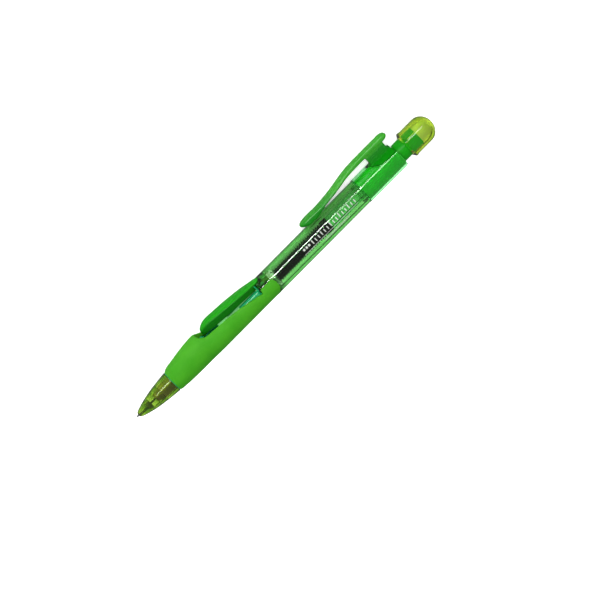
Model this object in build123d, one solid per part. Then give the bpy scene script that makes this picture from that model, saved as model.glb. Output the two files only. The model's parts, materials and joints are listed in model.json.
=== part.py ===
from build123d import *
import copy
import math
import os

# A side-button lead holder (mechanical pencil) for 0.7 mm leads.
# Every piece is drawn in the pencil's own frame: tip at x = 0, rear towards +X, the axis of the
# barrel on the X axis, and the pocket clip and the button on the +Z side. At the end all the
# pieces are laid down together, the way the pencil rests on a desk. Sizes are in millimetres.

# ---- Driving dimensions -----------------------------------------------------------------
LENGTH = 145.0  # lead tip to the top of the cap
BARREL_R = 4.95
BARREL_BORE_R = 3.6
CORE_R = 4.0  # barrel radius under the rubber grip
CORE_BORE_R = 3.0
BARREL_FRONT = 17.4
BARREL_REAR = 110.3
THREAD_R = 3.4  # nose cone spigot in the barrel
THREAD_END = 22.0
HOUSING_REAR = 23.0  # the clutch housing's flange is clamped here
BORE_STEP = 66.4  # the bore widens here and seats the guide bush

GRIP_FRONT = 17.6
GRIP_R = 4.9
GRIP_ROUND_START = 38.6  # a plain cylinder from here to the rear
GRIP_REAR = 67.8
GRIP_NOTCH = 63.2  # apex of the V cut into the grip's rear end
GRIP_NOTCH_SLOPE = 0.9  # how far each side tongue runs back per mm of width
TONGUE_TOP = 2.64  # upper edge of the side tongues
THICK_START = 60.6  # the barrel takes its full radius from here on the button side

RETAINER_FRONT = 5.3  # the lead sleeve's flange ends and the rubber ring starts
CLUTCH_SEAT = 12.3  # the clutch ring rests on the housing here
CHUCK_NECK_R = 1.05
CHUCK_TAIL = 21.0
CONNECTOR_BORE_R = 1.3
SLIDER_FRONT = 32.0  # the connector is pushed into the slider from here
SLIDER_SEAT = 34.0
SLIDER_SEAT_R = 1.8

LEAD_R = 0.35
LEAD_BORE_R = 0.37
LEAD_LENGTH = 60.0
SPARE_LEADS = 6
SPARE_RING_R = 1.12  # spare leads stand in a ring round the working lead
SPARE_START = 34.3

TUBE_R = 2.1  # cam slider and lead magazine
TUBE_BORE_R = 1.6
TUBE_JOINT = 66.5  # the magazine is pushed into the slider from here to MAGAZINE_FRONT
TUBE_JOINT_R = 1.85
MAGAZINE_FRONT = 68.5
MAGAZINE_REAR = 94.8
MAGAZINE_FLANGE = 92.0
MAGAZINE_FLANGE_R = 2.6
LOADING_FRONT = 93.0
LOADING_SEAT_R = 2.0  # the loading tube's front in the magazine
LOADING_REAR = 114.0
LOADING_R = 2.55

SPRING_WIRE = 0.4
SPRING_MEAN_R = 2.36
SPRING_FRONT = 67.8
SPRING_TURNS = 24

HINGE_X = 61.9  # the button turns about its rear end
HINGE_Z = 2.5
HINGE_PIN_R = 0.7
WELL_HALF = 2.35  # the barrel's opening round the button's rear end
BUTTON_REAR_HALF = 2.2
RUNNING_GAP = 0.05
CAM_SUM = 48.9  # the cam's 45 degree face lies on x + z = CAM_SUM
CAM_TOP = 3.9

COLLAR_R = 5.1
COLLAR_REAR = 128.8
COLLAR_WALL = 0.8
SLEEVE_FRONT = 110.9  # the clip's inner sleeve fills the collar from here
SLEEVE_REAR = 128.3
PLUG_STOP = 115.6  # the sleeve's bore narrows here, in front of the eraser holder
SLOT_FRONT = 118.0  # U-shaped slot in the rear collar
SLOT_HALF = 4.1
SLOT_BOW = 6.0  # length of the slot's rounded front
CLIP_TOP = 10.2  # outer face of the clip arm over the axis
CLIP_HALF = 1.85

NECK_R = 3.75
SPIGOT_R = 3.3
CAP_R = 5.07
CAP_RIM_R = 5.25
CAP_FRONT = 132.3
CAP_SHOULDER = 140.5  # where the dome starts
CUP_FLOOR = 130.0
CUP_REAR = 137.8
CUP_R = 3.7
ERASER_R = 2.95

LIE_ROLL = 20.25  # the clip points this far below the horizontal, in degrees


# ---- Helpers ----------------------------------------------------------------------------
def turned(*profile):
    """A solid of revolution about the pencil's axis from (x, radius) corners."""
    outline = Polyline(*[(x, 0, r) for x, r in profile], close=True)
    return revolve(make_face(outline), Axis.X)


def tube(x0, x1, outer, inner=0.0):
    """A tube or, with no inner radius, a rod along the pencil's axis."""
    return turned((x0, inner), (x0, outer), (x1, outer), (x1, inner))


def plan(points, z0, z1):
    """A prism with a symmetrical plan outline, from its (x, y) corners on the +Y side."""
    corners = list(points) + [(x, -y) for x, y in reversed(points)]
    face = make_face(Polyline(*corners, close=True))
    return Pos(0, 0, z0) * extrude(face, z1 - z0)


def side(outline, half_width):
    """A prism with a side outline in the XZ plane, as wide as the half width each way."""
    return Pos(0, half_width, 0) * extrude(make_face(Plane.XZ * outline), 2 * half_width, dir=(0, -1, 0))


def block(x0, x1, y0, y1, z0, z1):
    """A box between two corners."""
    size = (x1 - x0, y1 - y0, z1 - z0)
    return Pos(x0, y0, z0) * Box(*size, align=(Align.MIN, Align.MIN, Align.MIN))


def cross_rod(x, z, y0, y1, radius):
    """A rod across the pencil, along Y."""
    rod = Cylinder(radius, y1 - y0, align=(Align.CENTER, Align.CENTER, Align.MIN))
    return Pos(x, y1, z) * Rot(90, 0, 0) * rod


# ---- Leads and clutch -------------------------------------------------------------------
def make_lead():
    return tube(0, LEAD_LENGTH, LEAD_R)


def make_spare_leads():
    """Spare leads standing in a ring inside the magazine, beside the working lead."""
    leads = []
    for i in range(SPARE_LEADS):
        angle = math.tau * (i + 0.5) / SPARE_LEADS
        place = Pos(0, SPARE_RING_R * math.cos(angle), SPARE_RING_R * math.sin(angle))
        leads.append(place * tube(SPARE_START, SPARE_START + LEAD_LENGTH, LEAD_R))
    return Compound(children=leads)


def make_lead_sleeve():
    """Thin steel tube with a flange that seats it in the nose."""
    bore = LEAD_BORE_R + 0.01
    return turned(
        (0.75, bore), (0.75, 0.47), (0.95, 0.52), (4.9, 0.52), (4.9, 0.8), (RETAINER_FRONT, 0.8),
        (RETAINER_FRONT, bore),
    )


def make_lead_retainer():
    """Rubber ring that lightly holds the lead while the chuck goes back."""
    return tube(RETAINER_FRONT, 6.9, 1.28, LEAD_BORE_R)


def make_clutch_ring():
    """Ring with a tapered bore that squeezes the jaws shut."""
    return turned((10.3, 1.65), (10.3, 2.1), (CLUTCH_SEAT, 2.1), (CLUTCH_SEAT, 1.25))


def make_chuck():
    """Three-jaw chuck: tapered head, thin neck, and a tail that the connector holds."""
    body = turned(
        (9.2, 1.3), (9.6, 1.7), (9.9, 1.7), (12.25, 1.23), (12.7, CHUCK_NECK_R), (16.6, CHUCK_NECK_R),
        (16.6, CONNECTOR_BORE_R), (CHUCK_TAIL, CONNECTOR_BORE_R), (CHUCK_TAIL, 0.6), (12.5, 0.6),
        (12.5, LEAD_BORE_R), (9.2, LEAD_BORE_R),
    )
    for i in range(3):
        slit = block(9.0, 15.5, 0.0, 2.0, -0.12, 0.12)
        body -= Rot(120 * i + 90, 0, 0) * slit
    return body


def make_clutch_housing():
    """Brass sleeve that seats the ring; its flange is clamped behind the nose cone."""
    return turned(
        (CLUTCH_SEAT, 1.4), (CLUTCH_SEAT, 2.5), (THREAD_END, 2.5), (THREAD_END, 3.3), (HOUSING_REAR, 3.3),
        (HOUSING_REAR, 2.0), (CLUTCH_SEAT + 1, 2.0), (CLUTCH_SEAT + 1, 1.4),
    )


def make_chuck_connector():
    """Joins the chuck's tail to the cam slider and funnels the leads into the chuck."""
    return turned(
        (17.0, CONNECTOR_BORE_R), (17.0, 1.9), (SLIDER_FRONT, 1.9), (SLIDER_FRONT, SLIDER_SEAT_R),
        (SLIDER_SEAT, SLIDER_SEAT_R), (SLIDER_SEAT, 1.55), (27.0, 1.55), (24.0, 0.5), (CHUCK_TAIL, 0.5),
        (CHUCK_TAIL, CONNECTOR_BORE_R),
    )


def make_cam_slider():
    """Moving front tube with the cam that the button's wedge pushes forward."""
    body = turned(
        (SLIDER_FRONT, SLIDER_SEAT_R), (SLIDER_FRONT, TUBE_R), (MAGAZINE_FRONT, TUBE_R),
        (MAGAZINE_FRONT, TUBE_JOINT_R), (TUBE_JOINT, TUBE_JOINT_R), (TUBE_JOINT, TUBE_BORE_R),
        (SLIDER_SEAT, TUBE_BORE_R), (SLIDER_SEAT, SLIDER_SEAT_R),
    )
    front, foot, wall_r = 42.6, 1.95, 1.9
    profile = Polyline(
        (front, foot), (front, CAM_TOP), (CAM_SUM - CAM_TOP, CAM_TOP), (CAM_SUM - foot, foot), close=True
    )
    cam = side(profile, 1.2) - tube(40, 50, wall_r)
    collar = tube(front, 46.4, 2.75, wall_r)
    return body + collar + cam


def make_lead_magazine():
    """Black tube that holds the spare leads, with the flange that the spring pushes."""
    return turned(
        (TUBE_JOINT, TUBE_BORE_R), (TUBE_JOINT, TUBE_JOINT_R), (MAGAZINE_FRONT, TUBE_JOINT_R),
        (MAGAZINE_FRONT, TUBE_R), (MAGAZINE_FLANGE, TUBE_R), (MAGAZINE_FLANGE, MAGAZINE_FLANGE_R),
        (MAGAZINE_REAR, MAGAZINE_FLANGE_R), (MAGAZINE_REAR, LOADING_SEAT_R),
        (LOADING_FRONT, LOADING_SEAT_R), (LOADING_FRONT, TUBE_BORE_R),
    )


def make_loading_tube():
    """Clear tube that leads are dropped into from the rear."""
    return turned(
        (LOADING_FRONT, TUBE_BORE_R), (LOADING_FRONT, LOADING_SEAT_R), (MAGAZINE_REAR, LOADING_SEAT_R),
        (MAGAZINE_REAR, LOADING_R), (LOADING_REAR, LOADING_R), (LOADING_REAR, 2.2),
        (LOADING_REAR - 1.5, TUBE_BORE_R),
    )


def make_return_spring():
    """Compression spring between the guide bush and the magazine's flange."""
    room = MAGAZINE_FLANGE - SPRING_FRONT - SPRING_WIRE - 0.1
    coil = Helix(room / SPRING_TURNS, room, SPRING_MEAN_R)
    section = Plane(coil @ 0, z_dir=coil % 0) * Circle(SPRING_WIRE / 2)
    wire = sweep(section, path=coil)
    return Pos(SPRING_FRONT + SPRING_WIRE / 2 + 0.05, 0, 0) * Rot(0, 90, 0) * wire


def make_guide_bush():
    """Bush in the barrel that guides the slider and seats the spring."""
    front, bore = 64.3, TUBE_R + 0.07
    return turned(
        (front, bore), (front, CORE_BORE_R), (BORE_STEP, CORE_BORE_R), (BORE_STEP, BARREL_BORE_R),
        (SPRING_FRONT, BARREL_BORE_R), (SPRING_FRONT, bore),
    )


# ---- Front end --------------------------------------------------------------------------
def make_nose_cone():
    """Clear cone: blunt nose, slightly bellied flank, and a spigot that screws in the barrel."""
    rear = BARREL_FRONT - 0.1
    tip = ThreePointArc((0.9, 0.72), (1.35, 1.12), (2.1, 1.5))
    flank = Spline((2.1, 1.5), (4.0, 2.08), (7.0, 2.82), (10.3, 3.38), (15.9, 4.02), (rear, 4.15))
    inside = Polyline(
        (rear, 4.15), (rear, THREAD_R), (THREAD_END, THREAD_R), (THREAD_END, 2.65), (12.2, 2.65), (12.2, 2.15),
        (9.65, 2.15), (9.65, 1.85), (6.95, 1.85), (6.95, 1.3), (RETAINER_FRONT, 1.3), (RETAINER_FRONT, 0.82),
        (4.9, 0.82), (4.9, 0.53), (0.9, 0.53), (0.9, 0.72),
    )
    return revolve(make_face(Plane.XZ * (tip + flank + inside)), Axis.X)


# ---- Barrel, grip and button ------------------------------------------------------------
def tongue_zone():
    """Everything in front of the V-shaped rear end of the grip and below its upper edge."""
    reach = 6.0
    corners = [(0, 0), (0, reach), (GRIP_NOTCH + GRIP_NOTCH_SLOPE * reach, reach), (GRIP_NOTCH, 0.01)]
    return plan(corners[1:], -reach, TONGUE_TOP)


def make_barrel():
    """Clear barrel, thinner under the grip, with the opening that the button works in."""
    thick = tube(THICK_START, BARREL_REAR, BARREL_R) - tongue_zone()
    body = tube(BARREL_FRONT, THICK_START + 9, CORE_R) + thick
    body -= tube(BARREL_FRONT, HOUSING_REAR, THREAD_R + RUNNING_GAP)
    body -= tube(HOUSING_REAR, BORE_STEP, CORE_BORE_R)
    body -= tube(BORE_STEP, BARREL_REAR, BARREL_BORE_R)
    body -= block(36.0, 52.0, -4.5, 4.5, 2.0, 6.0)
    body -= block(51.0, THICK_START, -4.5, 4.5, 2.6, 6.0)
    body -= block(60.0, 61.5, -WELL_HALF, WELL_HALF, 0, 6.0)
    body -= Pos(61.5, 0, 3.0) * Cylinder(WELL_HALF, 6.0)
    body -= cross_rod(HINGE_X, HINGE_Z, -3.7, 3.7, HINGE_PIN_R + RUNNING_GAP)
    return body


def make_grip():
    """Soft rubber sleeve: swells in front of the button and opens round it."""
    # x, half width, height above the axis, depth below it
    stations = [
        (GRIP_FRONT, 4.1, 4.15, 4.15),
        (18.2, 4.3, 4.45, 4.32),
        (19.2, 4.5, 4.92, 4.42),
        (22.0, 4.66, 5.38, 4.62),
        (26.0, 4.75, 6.05, 4.8),
        (30.0, 4.78, 6.55, 4.86),
        (33.0, 4.78, 6.72, 4.86),
        (34.8, 4.81, 6.15, 4.87),
        (36.4, 4.85, 5.3, 4.89),
    ]
    rings = []
    for x, half, up, down in stations:
        ring = Ellipse(half, (up + down) / 2)
        rings.append(Plane(origin=(x, 0, (up - down) / 2), x_dir=(0, 1, 0), z_dir=(1, 0, 0)) * ring)
    rings.append(Plane(origin=(GRIP_ROUND_START, 0, 0), x_dir=(0, 0, 1), z_dir=(1, 0, 0)) * Circle(GRIP_R))
    body = loft(rings) + tube(GRIP_ROUND_START, GRIP_REAR, GRIP_R)
    body -= tube(0, LENGTH, CORE_R)
    # The opening, first its edge as seen from the side, then the well that the button sinks into.
    edge = Polyline(
        (34.6, 8), (34.6, 5.6), (35.2, 5.0), (36.2, 4.55), (40, 4.15), (45.3, 3.75), (52, 2.9),
        (59.6, 1.26), (60.9, 0.8), (61.3, 1.2), (61.6, TONGUE_TOP), (70, TONGUE_TOP), (70, 8), close=True,
    )
    body -= side(edge, 6)
    well = [(34.1, 1.2), (34.9, 2.2), (36.4, 2.75), (40, 2.85), (45, 3.25), (52, 3.45), (62, 3.45)]
    body -= plan(well, 0.8, 9)
    zone = tongue_zone() + tube(0, THICK_START, 9)
    return body & zone


def button_shell():
    """Outer form of the button: blunt round nose, widest in the middle, narrow round rear."""
    # x, half width, top, underside
    stations = [
        (36.6, 1.0, 5.75, 4.6),
        (37.2, 1.55, 6.45, 4.5),
        (38.5, 2.05, 7.2, 4.35),
        (40.5, 2.42, 7.6, 4.2),
        (45.0, 2.82, 7.2, 3.9),
        (50.0, 3.05, 6.7, 3.65),
        (55.0, 3.05, 6.1, 3.35),
        (59.0, 2.6, 5.5, 2.95),
        (60.4, BUTTON_REAR_HALF, 5.3, 2.6),
    ]
    rings = []
    for x, half, top, under in stations:
        ring = RectangleRounded(2 * half, top - under, 0.45)
        rings.append(Plane(origin=(x, 0, (top + under) / 2), x_dir=(0, 1, 0), z_dir=(1, 0, 0)) * ring)
    rear = side(Polyline((60.4, 2.6), (60.4, 5.3), (64.0, 4.8), (64.0, 2.3), close=True), BUTTON_REAR_HALF)
    knuckle = Pos(61.4, 0, 4) * Cylinder(BUTTON_REAR_HALF, 8)
    return loft(rings) + (rear & (knuckle + block(60.0, 61.4, -3, 3, 0, 8)))


def make_side_button():
    """Lever, hollow below, with its own hinge pins and the wedge that drives the cam."""
    body = button_shell()
    pocket = Polyline((39.5, 2), (39.5, 6.1), (44, 6.0), (55, 4.9), (59.5, 4.2), (59.5, 2), close=True)
    body -= side(pocket, 1.6)
    wedge_sum = CAM_SUM + 0.1
    wedge = Polyline((wedge_sum - 3.6, 3.6), (48, 3.6), (48, 6.2), (wedge_sum - 6.2, 6.2), close=True)
    body += side(wedge, 1.0)
    for y0, y1 in ((-3.0, -2.0), (2.0, 3.0)):
        body += cross_rod(HINGE_X, HINGE_Z, y0, y1, HINGE_PIN_R)
    return body


# ---- Rear end ---------------------------------------------------------------------------
def slot_prism(shrink=0.0):
    """Prism through the U-shaped slot of the collar: a half ellipse, then straight sides."""
    half = SLOT_HALF - shrink
    straight = SLOT_FRONT + SLOT_BOW
    bow = EllipticalCenterArc((straight, 0), SLOT_BOW - shrink, half, 90, arc_size=180)
    rear = COLLAR_REAR + 1
    back = Polyline((straight, -half), (rear, -half), (rear, half), (straight, half))
    return extrude(make_face(bow + back), 8)


def make_rear_collar():
    """Clear shell behind the barrel, plugged into it and slotted for the clip."""
    inner = COLLAR_R - COLLAR_WALL
    shell = turned(
        (107.0, 2.9), (107.0, 3.4), (107.3, BARREL_BORE_R), (BARREL_REAR, BARREL_BORE_R),
        (BARREL_REAR, COLLAR_R), (SLEEVE_REAR, COLLAR_R), (COLLAR_REAR, 4.75), (COLLAR_REAR, inner),
        (SLEEVE_FRONT, inner), (SLEEVE_FRONT, 2.9),
    )
    return shell - slot_prism()


def clip_arm():
    """Arm with a raised rear, a gentle S down to the front, and a ball that holds the cloth."""
    outer = Spline(
        (86.7, 7.0), (87.5, 7.6), (90.5, 7.75), (96, 7.65), (101, 7.97), (105, 8.62), (109.5, 9.5),
        (113.5, 10.0), (118, CLIP_TOP),
    )
    heel = Polyline((118, CLIP_TOP), (130.3, CLIP_TOP), (130.3, 8.45))
    inner = Spline((130.3, 8.45), (119, 8.4), (112.7, 8.35), (107.4, 7.7), (103.5, 7.0), (98.5, 6.55))
    ball = Spline((98.5, 6.55), (95.5, 5.75), (92.3, 5.25), (89.3, 5.6), (87.2, 6.4), (86.7, 7.0))
    profile = side(outer + heel + inner + ball, 3.5)
    tip = ThreePointArc((89.0, 2.25), (86.7, 0), (89.0, -2.25))
    right = Spline(
        (89.0, -2.25), (98, -2.4), (106, -2.35), (113, -2.1), (118, -CLIP_HALF), (130.5, -CLIP_HALF)
    )
    back = Line((130.5, -CLIP_HALF), (130.5, CLIP_HALF))
    left = Spline((130.5, CLIP_HALF), (118, CLIP_HALF), (113, 2.1), (106, 2.35), (98, 2.4), (89.0, 2.25))
    arm = profile & extrude(make_face(tip + right + back + left), 12)
    return fillet(arm.edges(), 0.6)


def make_clip():
    """Pocket clip: an inner sleeve under the collar, a pad in its slot, a post and the arm."""
    inner = COLLAR_R - COLLAR_WALL
    sleeve = turned(
        (SLEEVE_FRONT, LOADING_R + 0.1), (SLEEVE_FRONT, inner), (SLEEVE_REAR, inner),
        (SLEEVE_REAR, SPIGOT_R + RUNNING_GAP), (PLUG_STOP, SPIGOT_R + RUNNING_GAP),
        (PLUG_STOP, LOADING_R + 0.1),
    )
    pad = tube(SLOT_FRONT, SLEEVE_REAR, 5.0, inner - 0.1) & slot_prism(RUNNING_GAP)
    root = Polyline((119.3, 4.6), (119.3, 8.9), (127.5, 8.9), (127.5, 4.6), close=True)
    post = side(root, 1.6)
    return sleeve + pad + post + clip_arm()


def make_eraser_holder():
    """Plug in the rear end, with a neck and a slotted cup that grips the eraser."""
    body = turned(
        (116.2, 0), (116.2, 3.0), (116.6, SPIGOT_R), (COLLAR_REAR + 0.05, SPIGOT_R),
        (COLLAR_REAR + 0.05, NECK_R), (132.5, NECK_R), (132.5, CUP_R), (CUP_REAR, CUP_R),
        (CUP_REAR, ERASER_R + 0.05), (CUP_FLOOR, ERASER_R + 0.05), (CUP_FLOOR, 0),
    )
    body -= tube(117.2, 128.0, 2.3)
    for i in range(2):
        body -= Rot(90 * i + 45, 0, 0) * block(134.0, 138.5, -0.3, 0.3, -4.5, 4.5)
    return body


def make_eraser():
    """Cylindrical eraser with a worn, rounded end."""
    shoulder, end = (141.6, ERASER_R), (143.0, 1.7)
    corner = ThreePointArc(shoulder, (142.6, 2.55), end)
    rest = Polyline(end, (143.0, 0), (CUP_FLOOR, 0), (CUP_FLOOR, ERASER_R), shoulder)
    return revolve(make_face(Plane.XZ * (corner + rest)), Axis.X)


def make_eraser_cap():
    """Clear cap: flared rim, straight side and an elliptical dome."""
    bore = NECK_R + RUNNING_GAP
    dome_in = 139.6
    outside = EllipticalCenterArc((CAP_SHOULDER, 0), LENGTH - CAP_SHOULDER, CAP_R, 0, arc_size=90)
    inside = EllipticalCenterArc((dome_in, 0), 4.3, bore, 0, arc_size=90)
    rim = Polyline(
        (CAP_SHOULDER, CAP_R), (134.1, CAP_R), (133.6, CAP_RIM_R), (133.1, CAP_RIM_R),
        (CAP_FRONT, 4.1), (CAP_FRONT, bore), (dome_in, bore),
    )
    axis = Line((dome_in + 4.3, 0), (LENGTH, 0))
    return revolve(make_face(Plane.XZ * (outside + rim + inside + axis)), Axis.X)


# ---- Laying down and writing ------------------------------------------------------------
PIECES = {
    "lead": make_lead,
    "spare_leads": make_spare_leads,
    "lead_sleeve": make_lead_sleeve,
    "lead_retainer": make_lead_retainer,
    "clutch_ring": make_clutch_ring,
    "chuck": make_chuck,
    "clutch_housing": make_clutch_housing,
    "chuck_connector": make_chuck_connector,
    "cam_slider": make_cam_slider,
    "lead_magazine": make_lead_magazine,
    "loading_tube": make_loading_tube,
    "return_spring": make_return_spring,
    "guide_bush": make_guide_bush,
    "nose_cone": make_nose_cone,
    "barrel": make_barrel,
    "grip": make_grip,
    "side_button": make_side_button,
    "rear_collar": make_rear_collar,
    "clip": make_clip,
    "eraser_holder": make_eraser_holder,
    "eraser": make_eraser,
    "eraser_cap": make_eraser_cap,
}


def lay_down(shapes):
    """Tip towards +X and clip towards -Y, resting on z = 0 on the grip, cap rim and clip."""
    turn = Rot(90 + LIE_ROLL, 0, 0) * Rot(0, 0, 180)
    laid = {name: turn * shape for name, shape in shapes.items()}
    box = Compound(children=[copy.copy(shape) for shape in laid.values()]).bounding_box()
    centre = Pos(-box.center().X, -box.center().Y, -box.min.Z)
    print("axis height", round(-box.min.Z, 4), "axis side shift", round(-box.center().Y, 4))
    return {name: centre * shape for name, shape in laid.items()}


os.makedirs("parts", exist_ok=True)
for name, shape in lay_down({name: make() for name, make in PIECES.items()}).items():
    export_step(shape, f"parts/{name}.step")
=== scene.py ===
import json
import math

import bmesh
import bpy
import numpy as np
from mathutils import Matrix, Vector

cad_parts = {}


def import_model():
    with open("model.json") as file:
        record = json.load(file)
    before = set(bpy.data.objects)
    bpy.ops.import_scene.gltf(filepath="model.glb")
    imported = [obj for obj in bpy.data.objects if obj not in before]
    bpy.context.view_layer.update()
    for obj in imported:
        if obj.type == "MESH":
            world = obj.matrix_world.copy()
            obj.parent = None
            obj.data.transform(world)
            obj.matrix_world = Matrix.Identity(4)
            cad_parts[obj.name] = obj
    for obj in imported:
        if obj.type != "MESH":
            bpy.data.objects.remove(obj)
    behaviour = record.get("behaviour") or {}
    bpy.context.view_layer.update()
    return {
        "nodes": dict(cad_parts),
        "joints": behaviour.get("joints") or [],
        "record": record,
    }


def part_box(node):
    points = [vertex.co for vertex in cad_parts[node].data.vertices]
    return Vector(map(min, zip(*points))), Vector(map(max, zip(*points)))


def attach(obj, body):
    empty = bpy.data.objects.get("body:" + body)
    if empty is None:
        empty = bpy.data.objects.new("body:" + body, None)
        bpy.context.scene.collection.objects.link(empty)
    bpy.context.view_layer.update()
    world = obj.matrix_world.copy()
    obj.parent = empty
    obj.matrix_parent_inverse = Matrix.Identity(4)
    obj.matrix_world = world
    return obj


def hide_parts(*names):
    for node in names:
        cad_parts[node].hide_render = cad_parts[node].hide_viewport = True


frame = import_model()

# ---- The pencil's own frame -------------------------------------------------------------
# Pieces are drawn in millimetres with the tip at x = 0, the rear towards +x and the clip and
# the button on the +z side, and are then put into the row frame.
MM = 0.001
HINGE = next(j for j in frame["joints"] if j["name"] == "button_press")
AXIS_POINT = Vector(frame["record"]["mounts"][0]["pos_m"])
TIP = Vector((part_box("lead")[1].x, AXIS_POINT.y, AXIS_POINT.z))
ALONG = Vector((-1, 0, 0))
ACROSS = -Vector(HINGE["axis"])
OUTWARD = ALONG.cross(ACROSS)
TURN_TO_ROW = Matrix((ALONG, ACROSS, OUTWARD)).transposed().to_4x4()
TO_ROW = Matrix.Translation(TIP) @ TURN_TO_ROW @ Matrix.Scale(MM, 4)


# ---- Node materials ---------------------------------------------------------------------
MIX_FACTOR, MIX_FIRST, MIX_SECOND, MIX_RESULT = 0, 6, 7, 2  # the colour sockets of a Mix node


class Tree:
    """A material's node tree, with short calls to add and join nodes."""

    def __init__(self, name):
        self.material = bpy.data.materials.new(name)
        self.material.use_nodes = True
        self.nodes = self.material.node_tree.nodes
        self.links = self.material.node_tree.links
        self.nodes.clear()
        self.output = self.nodes.new("ShaderNodeOutputMaterial")

    def add(self, kind, settings=None, **inputs):
        """A node of that kind. Inputs are values or sockets, by name, with _ for a space."""
        node = self.nodes.new("ShaderNode" + kind)
        for key, value in (settings or {}).items():
            setattr(node, key, value)
        for key, value in inputs.items():
            self.put(node.inputs[key.replace("_", " ")], value)
        return node

    def put(self, socket, value):
        """Links a socket or sets a value."""
        if isinstance(value, bpy.types.NodeSocket):
            self.links.new(value, socket)
        else:
            socket.default_value = value

    def place(self, stretch=(1, 1, 1)):
        """Object coordinates in millimetres, squeezed by a factor on each axis."""
        where = self.add("TexCoord").outputs["Object"]
        scale = tuple(s / MM for s in stretch)
        return self.add("Mapping", Vector=where, Scale=scale).outputs["Vector"]

    def noise(self, scale, stretch=(1, 1, 1), detail=3.0, rough=0.55):
        """Fractal noise with features about 1/scale mm across."""
        where = self.place(stretch)
        node = self.add("TexNoise", Vector=where, Scale=scale, Detail=detail, Roughness=rough)
        return node.outputs["Fac"]

    def ramp(self, value, low, high, to_low, to_high):
        """value from low..high to to_low..to_high, held at both ends."""
        inputs = {"Value": value, "From_Min": low, "From_Max": high, "To_Min": to_low, "To_Max": to_high}
        return self.add("MapRange", **inputs).outputs["Result"]

    def mix(self, factor, first, second):
        """A colour between two colours."""
        node = self.add("Mix", {"data_type": "RGBA"})
        self.put(node.inputs[MIX_FACTOR], factor)
        self.put(node.inputs[MIX_FIRST], first)
        self.put(node.inputs[MIX_SECOND], second)
        return node.outputs[MIX_RESULT]

    def bump(self, height, depth, normal=None):
        """A normal raised by height, depth in millimetres."""
        node = self.add("Bump", Height=height, Distance=depth * MM, Strength=1.0)
        if normal is not None:
            self.put(node.inputs["Normal"], normal)
        return node.outputs["Normal"]

    def finish(self, surface, volume=None):
        """Joins the shaders to the output and gives the material."""
        self.links.new(surface, self.output.inputs["Surface"])
        if volume is not None:
            self.links.new(volume, self.output.inputs["Volume"])
        return self.material


def srgb(red, green, blue):
    """A linear colour with alpha from 0..255 display values."""
    def one(value):
        value /= 255
        return value / 12.92 if value <= 0.04045 else ((value + 0.055) / 1.055) ** 2.4
    return (one(red), one(green), one(blue), 1.0)


STUDIO = 2.2  # how much brighter than a plain white sheet a facing surface is lit
PLASTIC_IOR = 1.5
RUBBER_IOR = 1.48
CLEAR_SKIN = ((0.98, 1, 0.97, 1), (0.93, 0.97, 0.92, 1))  # a faint cloudiness
MATTE_BELOW = 4.0  # height over the axis where the painted shade of low parts has lost its gloss
MATTE_GLOSS = 0.03


def shown(red, green, blue):
    """The surface colour that comes out as these 0..255 display values in the studio's light."""
    return tuple(c / STUDIO for c in srgb(red, green, blue)[:3]) + (1.0,)


def clear_plastic(name, tint, density, roughness, veil=0.0, veil_color=None):
    """Clear coloured moulding: the colour deepens with the thickness that the light goes through.

    veil is the share of milky surface, for a piece that isn't quite clear.
    """
    t = Tree(name)
    flow = t.noise(0.35, (0.12, 1, 1), 4.0)
    speck = t.noise(3.0, (1, 1, 1), 2.0)
    rough = t.ramp(flow, 0.3, 0.7, roughness * 0.9, roughness * 1.15)
    normal = t.bump(flow, 0.001, t.bump(speck, 0.0002))
    color = t.mix(t.ramp(speck, 0.35, 0.65, 0, 1), *CLEAR_SKIN)
    shell = t.add("BsdfPrincipled", Base_Color=color, Roughness=rough, IOR=PLASTIC_IOR, Normal=normal,
                  Transmission_Weight=1.0)
    surface = shell.outputs[0]
    if veil:
        cloud = t.add("BsdfTranslucent", Color=veil_color, Normal=normal)
        skin = t.add("BsdfDiffuse", Color=veil_color, Normal=normal)
        both = t.add("MixShader", Fac=0.5)
        t.links.new(cloud.outputs[0], both.inputs[1])
        t.links.new(skin.outputs[0], both.inputs[2])
        blend = t.add("MixShader", Fac=veil)
        t.links.new(surface, blend.inputs[1])
        t.links.new(both.outputs[0], blend.inputs[2])
        surface = blend.outputs[0]
    volume = t.add("VolumeAbsorption", Color=tint, Density=density)
    return t.finish(surface, volume.outputs[0])


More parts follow.
